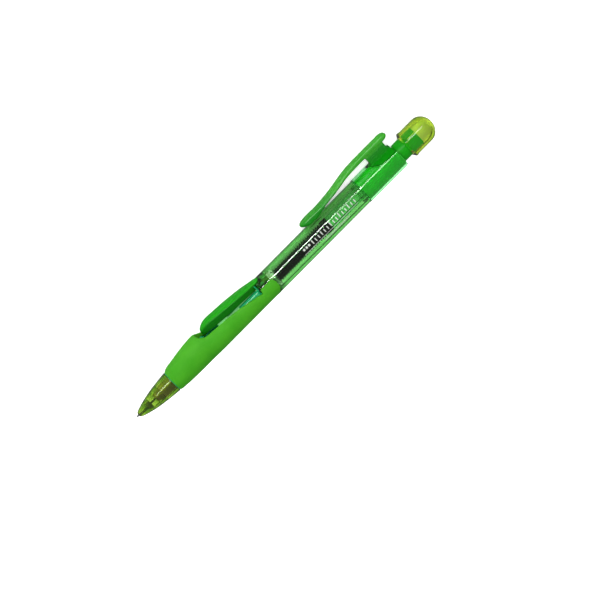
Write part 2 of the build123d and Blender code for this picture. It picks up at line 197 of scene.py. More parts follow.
def moulded(name, light, dark, roughness, gloss=0.3, glow=0.0, grain=0.0015, low=None, painted_low_shade=None,
            painted_glow=0.0):
    """Opaque moulding with faint flow marks and fine skin grain.

    low is a painted shade: the colour of faces that turn aside. deep is (colour, from, to): a painted
    shade near the axis, and the heights in mm between which it fades out. inner is a painted glow,
    emission for pieces that only show through clear ones, where the lamps don't reach them.
    """
    t = Tree(name)
    flow = t.noise(0.25, (0.4, 1, 1), 4.0)
    skin = t.noise(9.0, (1, 1, 1), 2.0)
    worn = t.ramp(t.noise(1.4, (0.35, 1, 1), 5.0), 0.45, 0.75, 0, 1)
    color = t.mix(t.ramp(flow, 0.3, 0.7, 0, 1), light, dark)
    # Painted shade: faces that turn away from the outward side get the darker low colour.
    if low is not None:
        facing = t.add("VectorMath", {"operation": "DOT_PRODUCT"})
        t.put(facing.inputs[0], t.add("TexCoord").outputs["Normal"])
        t.put(facing.inputs[1], tuple(OUTWARD))
        color = t.mix(t.ramp(facing.outputs["Value"], 0.25, 0.85, 1, 0), color, low)
    # Painted shade: parts near the axis, under what stands over them, get a darker colour and lose their
    # gloss.
    if painted_low_shade is not None:
        raised = t.add("VectorMath", {"operation": "DOT_PRODUCT"})
        t.put(raised.inputs[0], t.place())
        t.put(raised.inputs[1], tuple(OUTWARD))
        start = AXIS_POINT.dot(OUTWARD) / MM
        low_shade_weight = t.ramp(raised.outputs["Value"], start + painted_low_shade[1], start + painted_low_shade[2], 1, 0)
        color = t.mix(low_shade_weight, color, painted_low_shade[0])
        gloss = t.ramp(raised.outputs["Value"], start + MATTE_BELOW, start + painted_low_shade[1], MATTE_GLOSS, gloss)
    rough = t.ramp(worn, 0, 1, roughness, roughness * 1.35)
    # Emission here is a painted glow, not a lamp: it lights pieces that the lamps don't reach through
    # clear plastic.
    shell = t.add("BsdfPrincipled", Base_Color=color, Roughness=rough, IOR=PLASTIC_IOR,
                  Specular_IOR_Level=gloss, Normal=t.bump(skin, grain),
                  Subsurface_Weight=glow, Subsurface_Scale=0.6 * MM, Subsurface_Radius=(0.4, 1.0, 0.25),
                  Emission_Color=color, Emission_Strength=painted_glow)
    return t.finish(shell.outputs[0])


def soft_rubber(name, light, dark):
    """Matte rubber: fine pebbled skin, cloudy colour and dull paler scuffs."""
    t = Tree(name)
    cloud = t.noise(0.18, (0.7, 1, 1), 5.0)
    where = t.place()
    pebble = t.add("TexVoronoi", {"feature": "SMOOTH_F1"}, Vector=where, Scale=5.0, Smoothness=0.7)
    scuff = t.ramp(t.noise(0.8, (0.25, 1, 1), 6.0, 0.7), 0.6, 0.78, 0, 0.35)
    color = t.mix(t.ramp(cloud, 0.3, 0.7, 0, 1), light, dark)
    paler = tuple(min(1.0, c * 1.25 + 0.02) for c in light[:3]) + (1.0,)
    color = t.mix(scuff, color, paler)
    normal = t.bump(pebble.outputs["Distance"], 0.01, t.bump(t.noise(14.0), 0.003))
    rough = t.ramp(cloud, 0.3, 0.7, 0.62, 0.78)
    shell = t.add("BsdfPrincipled", Base_Color=color, Roughness=rough, IOR=RUBBER_IOR,
                  Specular_IOR_Level=0.2, Normal=normal,
                  Subsurface_Weight=0.12, Subsurface_Scale=0.5 * MM, Subsurface_Radius=(0.5, 1.0, 0.2))
    return t.finish(shell.outputs[0])


def turned_metal(name, light, dark, roughness, painted_glow=0.0):
    """Turned metal: fine rings round the axis and a little tarnish."""
    t = Tree(name)
    rings = t.noise(6.0, (1, 0.05, 0.05), 3.0)
    tarnish = t.noise(0.5, (1, 1, 1), 5.0)
    color = t.mix(t.ramp(tarnish, 0.4, 0.7, 0, 1), light, dark)
    rough = t.ramp(tarnish, 0.3, 0.7, roughness, roughness * 1.6)
    # Emission here is a painted glow, for metal seen only through clear plastic, where the lamps don't
    # reach.
    shell = t.add("BsdfPrincipled", Base_Color=color, Metallic=1.0, Roughness=rough,
                  Normal=t.bump(rings, 0.004), Emission_Color=color, Emission_Strength=painted_glow)
    return t.finish(shell.outputs[0])


def graphite(name):
    """Polymer lead: near black, with a soft metallic sheen and drawn streaks."""
    t = Tree(name)
    streak = t.noise(8.0, (0.05, 1, 1), 3.0)
    color = t.mix(streak, (0.03, 0.03, 0.033, 1), (0.09, 0.09, 0.095, 1))
    shell = t.add("BsdfPrincipled", Base_Color=color, Metallic=0.35, Roughness=0.42,
                  Normal=t.bump(streak, 0.004))
    return t.finish(shell.outputs[0])


LOOKS = {
    "clear_green": clear_plastic("clear_green", (0.42, 0.76, 0.37, 1), 1250, 0.05),
    "clear_lime": clear_plastic("clear_lime", (0.68, 0.76, 0.04, 1), 1400, 0.05),
    "grip_rubber": soft_rubber("grip_rubber", shown(70, 174, 16), shown(58, 164, 8)),
    # Painted shade: the button's side walls are coloured darker than its top.
    "button_green": moulded("button_green", shown(32, 168, 14), shown(20, 156, 8), 0.26, 0.12, 0.1,
                            low=shown(4, 112, 2)),
    # Painted shade: the clip's post and pad under its arm are coloured darker and made matte.
    "clip_green": moulded("clip_green", shown(60, 176, 34), shown(46, 164, 24), 0.24, 0.5, 0.1,
                          painted_low_shade=(shown(4, 138, 6), 7.2, 8.3)),
    # bush_olive, slider_green, brass, seal_rubber and eraser_white are given a painted glow, as they are
    # seen only through clear plastic, where the lamps don't reach.
    "bush_olive": moulded("bush_olive", srgb(150, 170, 40), srgb(120, 150, 30), 0.4, painted_glow=0.3),
    "slider_green": moulded("slider_green", srgb(130, 205, 130), srgb(100, 190, 110), 0.35, 0.3, 0.2,
                            painted_glow=0.5),
    "black_plastic": moulded("black_plastic", (0.002, 0.004, 0.004, 1), (0.004, 0.006, 0.006, 1),
                             0.5, 0.06),
    "brass": turned_metal("brass", (0.5, 0.4, 0.18, 1), (0.38, 0.29, 0.12, 1), 0.3, painted_glow=0.22),
    "steel": turned_metal("steel", (0.62, 0.62, 0.64, 1), (0.45, 0.45, 0.47, 1), 0.22),
    "spring_steel": moulded("spring_steel", (0.004, 0.005, 0.005, 1), (0.008, 0.009, 0.009, 1),
                            0.5, 0.1),
    "graphite": graphite("graphite"),
    "seal_rubber": moulded("seal_rubber", (0.18, 0.2, 0.06, 1), (0.14, 0.16, 0.05, 1), 0.6,
                           painted_glow=0.4),
    "eraser_white": moulded("eraser_white", (0.66, 0.8, 0.36, 1), (0.58, 0.72, 0.3, 1), 0.6, 0.2, 0.2,
                            0.004, painted_glow=0.7),
}

OWN_LOOKS = {
    "rear_collar": clear_plastic("collar_green", (0.25, 0.82, 0.36, 1), 900, 0.05),
    "nose_cone": clear_plastic("cone_lime", (0.58, 0.72, 0.04, 1), 1700, 0.05),
    "loading_tube": clear_plastic("loading_green", (0.2, 0.86, 0.4, 1), 500, 0.05),
    "eraser_holder": moulded("holder_green", shown(26, 168, 18), shown(14, 156, 12), 0.24, 0.12, 0.1),
}
CORE_LOOK = clear_plastic("core_green", (0.0, 0.74, 0.4, 1), 1900, 0.08, 0.6, (0.02, 0.5, 0.2, 1))
# The sleeve and the cup are given a painted glow, as they show only through clear plastic, where the lamps
# don't reach.
SLEEVE_LOOK = moulded("sleeve_green", (0.02, 0.46, 0.02, 1), (0.012, 0.4, 0.015, 1), 0.5, 0.03,
                      painted_glow=0.65)
CUP_LOOK = moulded("cup_green", (0.008, 0.2, 0.012, 1), (0.006, 0.17, 0.009, 1), 0.5, 0.03,
                   painted_glow=2.2)

for part in frame["record"]["subparts"]:
    node = frame["nodes"][part["node"]]
    node.data.materials.clear()
    node.data.materials.append(OWN_LOOKS.get(part["node"], LOOKS[part["material_slot"]]))

# ---- Shape tools ------------------------------------------------------------------------
AROUND = 128  # segments of a turned piece
TURN = [2 * math.pi * j / AROUND for j in range(AROUND)]
ON_AXIS = 1e-4  # a radius below this counts as the axis
GENTLE = math.radians(14)  # bends below this are not rounded
CORNER_STEPS = 5  # spans of a rounded corner
LONGEST_REACH = 0.45  # of a side that a rounded corner may take
WELD = 1e-5  # points nearer than this become one
LONGEST_SPAN = 1.5  # along a turned piece, between rings
BEYOND = 9.0  # how far cutting blocks reach, past every outside surface


def smooth(rows, x):
    """The columns of a station table at x, along smooth curves through the stations."""
    xs = np.array([r[0] for r in rows])
    ys = np.array([r[1:] for r in rows], float)
    x = min(max(x, xs[0]), xs[-1])
    i = int(min(max(np.searchsorted(xs, x) - 1, 0), len(xs) - 2))
    steps = np.diff(ys, axis=0) / np.diff(xs)[:, None]

    def tangent(k):
        if k == 0:
            return steps[0]
        if k == len(xs) - 1:
            return steps[-1]
        before, after = steps[k - 1], steps[k]
        both = before * after
        return np.where(both > 0, 2 * both / np.where(both > 0, before + after, 1), 0)

    gap = xs[i + 1] - xs[i]
    t = (x - xs[i]) / gap
    h = (2 * t**3 - 3 * t**2 + 1, t**3 - 2 * t**2 + t, -2 * t**3 + 3 * t**2, t**3 - t**2)
    return h[0] * ys[i] + h[1] * gap * tangent(i) + h[2] * ys[i + 1] + h[3] * gap * tangent(i + 1)


def rounded(corners, radius):
    """A closed outline with its corners rounded. Gentle bends are left as they are."""
    points = []
    count = len(corners)
    for i, corner in enumerate(corners):
        corner = np.array(corner, float)
        back = np.array(corners[i - 1], float) - corner
        on = np.array(corners[(i + 1) % count], float) - corner
        sides = np.linalg.norm(back), np.linalg.norm(on)
        bend = math.acos(max(-1.0, min(1.0, -back @ on / (sides[0] * sides[1]))))
        reach = radius[i] if isinstance(radius, list) else radius
        if bend < GENTLE or reach == 0:
            points.append(corner)
            continue
        start = corner + back * min(reach / sides[0], LONGEST_REACH)
        end = corner + on * min(reach / sides[1], LONGEST_REACH)
        for k in range(CORNER_STEPS + 1):
            t = k / CORNER_STEPS
            points.append((1 - t) ** 2 * start + 2 * t * (1 - t) * corner + t**2 * end)
    return points


def mesh_of(verts, faces):
    """A mesh in the pencil's own frame, in millimetres."""
    mesh = bpy.data.meshes.new("shape")
    mesh.from_pydata([tuple(v) for v in verts], [], faces)
    work = bmesh.new()
    work.from_mesh(mesh)
    bmesh.ops.remove_doubles(work, verts=work.verts, dist=WELD)
    bmesh.ops.delete(work, geom=[e for e in work.edges if not e.link_faces], context="EDGES")
    bmesh.ops.recalc_face_normals(work, faces=work.faces)
    work.to_mesh(mesh)
    work.free()
    return mesh


def skin(rings, closed=False):
    """Faces between rings of equal length, capped at both ends unless closed end to end."""
    count = len(rings[0])
    verts = [p for ring in rings for p in ring]
    spans = len(rings) if closed else len(rings) - 1
    faces = []
    for i in range(spans):
        a, b = i * count, (i + 1) % len(rings) * count
        faces += [(a + j, a + (j + 1) % count, b + (j + 1) % count, b + j) for j in range(count)]
    if not closed:
        faces += [tuple(range(count)), tuple(reversed(range(len(verts) - count, len(verts))))]
    return mesh_of(verts, faces)


def divided(outline):
    """A closed outline with its long spans along x split, so that shading stays even along them."""
    fine = []
    for k, (x0, r0) in enumerate(outline):
        x1, r1 = outline[(k + 1) % len(outline)]
        parts = max(1, math.ceil(abs(x1 - x0) / LONGEST_SPAN))
        fine += [(x0 + (x1 - x0) * i / parts, r0 + (r1 - r0) * i / parts) for i in range(parts)]
    return fine


def turned(outline, radius=0.06):
    """A closed outline of (x, r) corners, its corners rounded, turned about the pencil's axis."""
    radii = [radius if r > ON_AXIS else 0 for x, r in outline]
    rings = []
    for x, r in divided(rounded(outline, radii)):
        r = max(r, ON_AXIS / 100)
        rings.append([(x, r * math.sin(a), r * math.cos(a)) for a in TURN])
    return skin(rings, closed=True)


def plan(x0, x1, half):
    """Outline of a block from above."""
    return [(x0, -half), (x1, -half), (x1, half), (x0, half)]


def prism(outline, depth, axes):
    """A prism through a closed outline. axes 'xz' spans depth along y, and 'xy' along z."""
    low, high = depth
    if axes == "xz":
        rings = [[(x, y, z) for x, z in outline] for y in (low, high)]
    else:
        rings = [[(x, y, z) for x, y in outline] for z in (low, high)]
    return skin(rings)


def combined(base, others, how):
    """Boolean of a mesh with others: DIFFERENCE, UNION or INTERSECT."""
    made = bpy.data.objects.new("work", base)
    bpy.context.scene.collection.objects.link(made)
    tools = []
    for mesh in others:
        tool = bpy.data.objects.new("tool", mesh)
        bpy.context.scene.collection.objects.link(tool)
        step = made.modifiers.new("cut", "BOOLEAN")
        step.operation = how
        step.solver = "EXACT"
        step.object = tool
        tools.append(tool)
    mesh = applied(made)
    for tool in tools:
        bpy.data.objects.remove(tool)
    return mesh


def applied(made):
    """The object's mesh with its modifiers applied; the object itself goes."""
    bpy.context.view_layer.update()
    mesh = bpy.data.meshes.new_from_object(made.evaluated_get(bpy.context.evaluated_depsgraph_get()))
    bpy.data.objects.remove(made)
    return mesh


def softened(mesh, voxel, passes):
    """One even skin over a mesh, with its edges softened."""
    made = bpy.data.objects.new("work", mesh)
    bpy.context.scene.collection.objects.link(made)
    remesh = made.modifiers.new("skin", "REMESH")
    remesh.mode = "VOXEL"
    remesh.voxel_size = voxel
    ease = made.modifiers.new("ease", "SMOOTH")
    ease.factor = 0.5
    ease.iterations = passes
    return applied(made)


def piece(name, mesh, body, slot_name, stands_for=(), look=None):
    """Puts a mesh from the pencil's frame into the row frame as a finished piece."""
    mesh.name = name
    mesh.transform(TO_ROW)
    mesh.materials.clear()
    mesh.materials.append(look or LOOKS[slot_name])
    mesh.shade_smooth()
    made = bpy.data.objects.new(name, mesh)
    bpy.context.scene.collection.objects.link(made)
    made.modifiers.new("normals", "WEIGHTED_NORMAL")
    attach(made, body)
    if stands_for:
        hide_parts(*stands_for)


# ---- Grip -------------------------------------------------------------------------------
GRIP_STATIONS = [  # x, half width, height above the axis, depth below it
    (17.6, 4.1, 4.15, 4.15), (18.2, 4.3, 4.45, 4.32), (19.2, 4.5, 4.92, 4.42),
    (22.0, 4.66, 5.38, 4.62), (26.0, 4.75, 6.05, 4.8), (30.0, 4.78, 6.55, 4.86),
    (33.0, 4.78, 6.72, 4.86), (34.8, 4.81, 6.15, 4.87), (36.4, 4.85, 5.3, 4.89),
    (38.6, 4.9, 4.9, 4.9), (67.8, 4.9, 4.9, 4.9),
]
GRIP_EDGE = [  # side view of the opening, open above
    (34.6, 8.0), (34.6, 5.6), (35.2, 5.0), (36.2, 4.55), (40, 4.15), (45.3, 3.75), (52, 2.9),
    (59.6, 1.26), (60.9, 0.8), (61.3, 1.2), (61.6, 2.64), (70, 2.64), (70, 8.0),
]
GRIP_WELL = [  # half plan of the hollow under the button
    (34.1, 1.2), (34.9, 2.2), (36.4, 2.75), (40, 2.85), (45, 3.25), (52, 3.45), (62, 3.45),
]
GRIP_WELL_FLOOR = 0.8
GRIP_NOTCH = [(63.2, 0.0), (69.2, 6.667), (75, 6.667), (75, -6.667), (69.2, -6.667)]
GRIP_BORE = 4.0
GRIP_VOXEL = 0.15
GRIP_PASSES = 8


def grip():
    """Soft sleeve with a swell in front of the button and a soft-edged opening round it."""
    lip, swell, rest = (np.linspace(17.6, 19.2, 9), np.linspace(19.5, 38.6, 78),
                        np.linspace(39, 67.8, 40))
    rings = []
    for x in np.concatenate([lip, swell, rest]):
        half, up, down = smooth(GRIP_STATIONS, x)
        middle, tall = (up - down) / 2, (up + down) / 2
        rings.append([(x, half * math.sin(a), middle + tall * math.cos(a)) for a in TURN])
    thin_bore = GRIP_BORE - 0.5
    cuts = [
        turned([(17.0, 0.0), (17.0, thin_bore), (69.0, thin_bore), (69.0, 0.0)], 0.0),
        prism(GRIP_EDGE, (-6, 6), "xz"),
        prism(GRIP_WELL + [(x, -y) for x, y in reversed(GRIP_WELL)], (GRIP_WELL_FLOOR, BEYOND), "xy"),
        prism(GRIP_NOTCH, (-BEYOND, BEYOND), "xy"),
    ]
    mesh = softened(combined(skin(rings), cuts, "DIFFERENCE"), GRIP_VOXEL, GRIP_PASSES)
    for vertex in mesh.vertices:
        flat = math.hypot(vertex.co.y, vertex.co.z)
        if flat < GRIP_BORE:
            vertex.co.y *= GRIP_BORE / flat
            vertex.co.z *= GRIP_BORE / flat
    piece("grip_sleeve", mesh, "pencil", "grip_rubber", ["grip"])


# ---- Side button ------------------------------------------------------------------------
BUTTON_STATIONS = [  # x, half width, top, underside, radius of the upper edges
    (36.55, 0.25, 5.45, 4.95, 0.2), (36.7, 0.95, 5.95, 4.62, 0.6), (37.2, 1.5, 6.5, 4.5, 0.9),
    (38.5, 2.02, 7.2, 4.35, 1.2), (40.5, 2.42, 7.6, 4.2, 1.3), (45.0, 2.82, 7.2, 3.9, 1.05),
    (50.0, 3.05, 6.7, 3.65, 0.7), (55.0, 3.05, 6.1, 3.35, 0.5), (59.0, 2.6, 5.5, 2.95, 0.4),
    (60.4, 2.3, 5.3, 2.75, 0.35), (61.4, 2.2, 5.16, 2.6, 0.35),
]
KNUCKLE = (61.4, 2.2)  # centre and radius of the round rear
REAR_TOP = (5.16, -0.141)  # height there, and how it falls per mm
BUTTON_HOLLOW = [(39.5, 3.0), (39.5, 6.1), (44, 6.0), (55, 4.9), (59.5, 4.2), (59.5, 2.0)]
BUTTON_WEDGE = [(45.4, 3.6), (48.0, 3.6), (48.0, 6.3), (42.7, 6.3)]
HINGE_X, HINGE_Z = 61.9, 2.5
PIN_R, PIN_END_R, PIN_BEVEL = 0.7, 0.6, 0.1


def button_ring(x, half, top, under, soft):
    """Cross-section: slightly crowned top, rounded upper edges, sides that lean in, flat below."""
    crown = 0.12 * half
    soft = min(soft, 0.8 * half, 0.45 * (top - under))
    right = []
    for k in range(7):
        y = (half - soft) * k / 6
        right.append((y, top - crown * (y / half) ** 2))
    side_top = right[-1][1]
    for k in range(1, 8):
        a = math.pi / 2 * k / 7
        right.append((half - soft + soft * math.sin(a), side_top - soft + soft * math.cos(a)))
    lean = 0.06 * half
    low_soft = 0.25 * min(1.0, half)
    for k in range(1, 7):
        t = k / 6
        right.append((half - lean * t, side_top - soft + (under + low_soft - side_top + soft) * t))
    for k in range(1, 6):
        a = math.pi / 2 * k / 5
        y = half - lean - low_soft + low_soft * math.cos(a)
        right.append((y, under + low_soft - low_soft * math.sin(a)))
    right.append((0.5 * half, under))
    left = [(-y, z) for y, z in reversed(right[1:])]
    return [(x, y, z) for y, z in right + [(0.0, under)] + left]


def side_button():
    """The lever that is pressed, with its wedge and hinge pins."""
    rings = []
    for x in np.concatenate([np.linspace(36.55, 38.5, 14), np.linspace(38.8, 61.4, 70)]):
        rings.append(button_ring(x, *smooth(BUTTON_STATIONS, x)))
    for k in range(1, 11):
        reach = KNUCKLE[1] * math.sin(math.pi / 2 * min(k / 10, 0.985))
        half = math.sqrt(KNUCKLE[1] ** 2 - reach**2)
        top = REAR_TOP[0] + REAR_TOP[1] * reach
        rings.append(button_ring(KNUCKLE[0] + reach, half, top, 2.6, 0.35))
    shell = skin(rings)
    shell = combined(shell, [prism(rounded(BUTTON_HOLLOW, 0.3), (-1.6, 1.6), "xz")], "DIFFERENCE")
    wedge = prism(BUTTON_WEDGE, (-1.0, 1.0), "xz")
    mesh = combined(shell, [wedge, hinge_pin(-3.0, -2.0), hinge_pin(2.0, 3.0)], "UNION")
    piece("side_button_lever", mesh, "button", "button_green", ["side_button"])


def hinge_pin(y0, y1):
    """A short pin across the pencil at the button's hinge."""
    turn = [2 * math.pi * j / 32 for j in range(32)]
    rings = []
    for y, r in ((y0, PIN_END_R), (y0 + PIN_BEVEL, PIN_R), (y1 - PIN_BEVEL, PIN_R), (y1, PIN_END_R)):
        rings.append([(HINGE_X + r * math.cos(a), y, HINGE_Z + r * math.sin(a)) for a in turn])
    return skin(rings)


# ---- Clip -------------------------------------------------------------------------------
ARM_STATIONS = [  # x, half width, top, underside
    (86.72, 0.3, 7.25, 6.8), (86.95, 0.85, 7.45, 6.5), (87.5, 1.45, 7.62, 6.15),
    (88.3, 1.95, 7.72, 5.85), (89.3, 2.25, 7.76, 5.55), (90.8, 2.33, 7.77, 5.3),
    (92.3, 2.36, 7.73, 5.25), (95.5, 2.4, 7.66, 5.75), (98.5, 2.4, 7.75, 6.45),
    (101.0, 2.4, 7.97, 6.78), (103.5, 2.38, 8.35, 7.03), (105.0, 2.36, 8.62, 7.28),
    (107.4, 2.32, 9.1, 7.68), (109.5, 2.25, 9.5, 8.0), (113.0, 2.12, 9.97, 8.15),
    (118.0, 1.95, 10.2, 8.15), (125.0, 1.95, 10.2, 8.12), (127.6, 1.95, 10.2, 8.05),
    (128.6, 1.9, 10.15, 8.08), (129.3, 1.75, 9.98, 8.2), (129.8, 1.5, 9.72, 8.58),
    (130.1, 1.2, 9.45, 8.82), (130.25, 0.8, 9.25, 9.0),
]
ARM_CORNER = 0.85
ARM_CROWN = 0.07
POST_STATIONS = [  # height, front, rear, half width
    (4.4, 118.9, 127.9, 1.9), (4.9, 119.1, 127.7, 1.72), (5.5, 119.3, 127.5, 1.6),
    (7.6, 119.3, 127.5, 1.6), (8.2, 119.1, 127.7, 1.66), (8.6, 118.6, 128.1, 1.78),
    (9.0, 118.0, 128.4, 1.8),
]
POST_CORNER = 0.45
SLEEVE = [  # the clip's ring inside the collar
    (110.9, 2.65), (110.9, 4.28), (128.3, 4.28), (128.3, 3.35), (115.6, 3.35), (115.6, 2.65),
]
PAD = [(118, 4.1), (118, 5.0), (128.3, 5.0), (128.3, 4.1)]
PAD_GAP = 0.06
COLLAR_R = 5.1
SLOT_HALF, SLOT_BOW = 4.1, 6.0
SLOT_STRAIGHT_FROM, SLOT_END = 124.0, 131.0


def arm_ring(x, half, top, under):
    """Rounded-rectangle section of the clip's arm, slightly crowned."""
    middle, tall = (top + under) / 2, (top - under) / 2
    soft = min(ARM_CORNER, 0.9 * half, 0.9 * tall)
    points = []
    for sy, sz, start in ((1, 1, 0), (1, -1, 1), (-1, -1, 2), (-1, 1, 3)):
        for k in range(9):
            a = math.pi / 2 * (start + k / 8)
            y = sy * (half - soft) + soft * math.sin(a)
            z = middle + sz * (tall - soft) + soft * math.cos(a)
            points.append((x, y, z))
    full = []
    for i, p in enumerate(points):
        full.append(p)
        if i % 9 == 8:
            q = points[(i + 1) % len(points)]
            across = abs(p[1] - q[1]) > abs(p[2] - q[2])
            for k in (1, 2, 3):
                t = k / 4
                bulge = ARM_CROWN * 4 * t * (1 - t)
                y = p[1] + (q[1] - p[1]) * t
                z = p[2] + (q[2] - p[2]) * t
                if across:
                    z += math.copysign(bulge, z - middle)
                else:
                    y += math.copysign(bulge * 0.6, y)
                full.append((x, y, z))
    return full


def clip():
    """Pocket clip: arm, post, pad in the collar's slot and the sleeve inside the collar, moulded in one.
    """
    ball, middle, end = (np.linspace(86.72, 89.3, 16), np.linspace(89.6, 128.6, 110),
                         np.linspace(128.7, 130.25, 14))
    arm = skin([arm_ring(x, *smooth(ARM_STATIONS, x)) for x in np.concatenate([ball, middle, end])])
    post_rings = []
    for z, x0, x1, half in POST_STATIONS:
        outline = rounded(plan(x0, x1, half), POST_CORNER)
        post_rings.append([(x, y, z) for x, y in outline])
    sleeve = turned(SLEEVE, 0.1)
    pad = combined(turned(PAD, 0.12), [slot_cutter(PAD_GAP)], "INTERSECT")
    piece("clip_sleeve", sleeve, "pencil", "clip_green", ["clip"], SLEEVE_LOOK)
    mesh = combined(pad, [skin(post_rings), arm], "UNION")
    piece("clip_moulding", mesh, "pencil", "clip_green", ["clip"])


def slot_outline(gap=0.0):
    """Plan of the collar's U-shaped slot: half an ellipse, then straight sides."""
    half, bow = SLOT_HALF - gap, SLOT_BOW - gap
    bend = np.linspace(-math.pi / 2, math.pi / 2, 41)
    curve = [(SLOT_STRAIGHT_FROM - bow * math.cos(a), half * math.sin(a)) for a in bend]
    return [(SLOT_END, -half)] + curve + [(SLOT_END, half)]


def slot_cutter(gap=0.0):
    """The slot's outline on the collar's surface, drawn out along lines that meet the axis."""
    rings = []
    for reach in (0.6, 2.2):
        ring = []
        for x, y in slot_outline(gap):
            ring.append((x, y * reach, math.sqrt(COLLAR_R**2 - y**2) * reach))
        rings.append(ring)
    return skin(rings)


# ---- Turned pieces ----------------------------------------------------------------------
BARREL_R = 4.95
BARREL_BORE = 3.6
BARREL_REAR = 110.3
TUBE_FRONT = 60.6  # where the full outside starts, behind the button
CORE_R = 3.97  # outside of the core under the grip
CORE_BORE = 3.0
SPIGOT_BORE = 3.45  # for the nose cone
BUSH_SEAT = 66.4  # where the core's bore widens
FULL_TURN_FROM = 69.0  # behind the grip's tongues the barrel is a plain tube
OPENING_TOP = 2.64  # upper edge of the grip's tongues
NOTCH_FROM, NOTCH_SLOPE = 63.2, 0.9  # V between the tongues
CORE_LOOK_END = 61.15
WELL_X, WELL_HALF = 61.5, 2.35  # the button's round rear turns in this well
DOME_STEPS = 24


def dome(start, along, radius):
    """Outline of an elliptical dome from its side to its pole."""
    quarter = np.linspace(0, math.pi / 2, DOME_STEPS)
    return [(start + along * math.sin(a), radius * math.cos(a)) for a in quarter]


def eraser_cap():
    """Clear cap with a flared, bevelled rim and an elliptical dome."""
    side = [(132.3, 3.8), (132.3, 4.15), (133.1, 5.25), (133.6, 5.25), (134.15, 5.07)]
    mesh = turned(side + dome(140.5, 4.5, 5.07) + dome(139.6, 4.3, 3.8)[::-1], 0.1)
    piece("eraser_cap_clear", mesh, "cap", "clear_lime", ["eraser_cap"])


def nose_cone():
    """Clear cone: blunt nose, bellied flank, stepped bore, and a plain spigot hidden in the barrel."""
    stations = [(2.1, 1.5), (4.0, 2.08), (7.0, 2.82), (10.3, 3.38), (15.9, 4.02), (17.3, 4.15)]
    flank = [(x, smooth(stations, x)[0]) for x in np.linspace(2.1, 17.3, 48)]
    tip = [(0.9, 0.53), (0.9, 0.74), (1.05, 0.92), (1.35, 1.12), (1.7, 1.32)]
    inside = [
        (17.3, 3.4), (22.0, 3.4), (22.0, 2.65), (12.2, 2.65), (12.2, 2.15), (9.65, 2.15),
        (9.65, 1.85), (6.95, 1.85), (6.95, 1.3), (5.3, 1.3), (5.3, 0.82), (4.9, 0.82), (4.9, 0.53),
    ]
    mesh = turned(tip + flank + inside, 0.08)
    piece("nose_cone_clear", mesh, "nose", "clear_lime", ["nose_cone"], OWN_LOOKS["nose_cone"])


def barrel():
    """Clear tube behind the grip, and a thinner core under the grip with the button's slot."""
    notch_rear = NOTCH_FROM + NOTCH_SLOPE * BEYOND
    tongues = []
    for side in (1, -1):
        outline = [(-1, 0.001 * side), (NOTCH_FROM, 0.001 * side), (notch_rear, BEYOND * side),
                   (-1, BEYOND * side)]
        tongues.append(prism(outline, (-BEYOND, OPENING_TOP), "xy"))
    tube = turned([
        (TUBE_FRONT, 3.62), (TUBE_FRONT, BARREL_R), (BARREL_REAR, BARREL_R),
        (BARREL_REAR, BARREL_BORE), (BUSH_SEAT, BARREL_BORE), (BUSH_SEAT, 3.62),
    ], 0.05)
    tube = combined(tube, tongues, "DIFFERENCE")
    core = turned([
        (17.4, SPIGOT_BORE), (17.4, CORE_R), (FULL_TURN_FROM, CORE_R), (FULL_TURN_FROM, BARREL_BORE),
        (BUSH_SEAT, BARREL_BORE), (BUSH_SEAT, CORE_BORE), (23.0, CORE_BORE), (23.0, SPIGOT_BORE),
    ], 0.05)
    body = combined(core, [tube], "UNION")
    bend = np.linspace(-math.pi / 2, math.pi / 2, 25)[1:-1]
    round_end = [(WELL_X + WELL_HALF * math.cos(a), WELL_HALF * math.sin(a)) for a in bend]
    well = [(60.0, -WELL_HALF), (WELL_X, -WELL_HALF)] + round_end
    well += [(WELL_X, WELL_HALF), (60.0, WELL_HALF)]
    slots = [
        prism(plan(36, 52, 4.5), (2.0, 6.0), "xy"),
        prism(plan(51, TUBE_FRONT, 4.5), (2.6, 6.0), "xy"),
        prism(well, (0.0, 6.0), "xy"),
    ]
    mesh = combined(body, slots, "DIFFERENCE")
    front = prism(plan(17.0, CORE_LOOK_END, BEYOND), (-BEYOND, BEYOND), "xy")
    core = combined(mesh.copy(), [front.copy()], "INTERSECT")
    piece("barrel_core", core, "pencil", "clear_green", ["barrel"], CORE_LOOK)
    piece("barrel_tube", combined(mesh, [front], "DIFFERENCE"), "pencil", "clear_green", ["barrel"])


def rear_collar():
    """Clear shell with a U-shaped slot for the clip, plugged into the barrel."""
    shell = turned([
        (108.6, 3.1), (108.6, 3.4), (108.8, 3.56), (BARREL_REAR, 3.56), (BARREL_REAR, COLLAR_R),
        (128.3, COLLAR_R), (128.8, 4.75), (128.8, 4.33), (110.85, 4.33), (110.85, 3.1),
    ], 0.08)
    mesh = combined(shell, [slot_cutter()], "DIFFERENCE")
    piece("rear_collar_clear", mesh, "pencil", "clear_green", ["rear_collar"], OWN_LOOKS["rear_collar"])


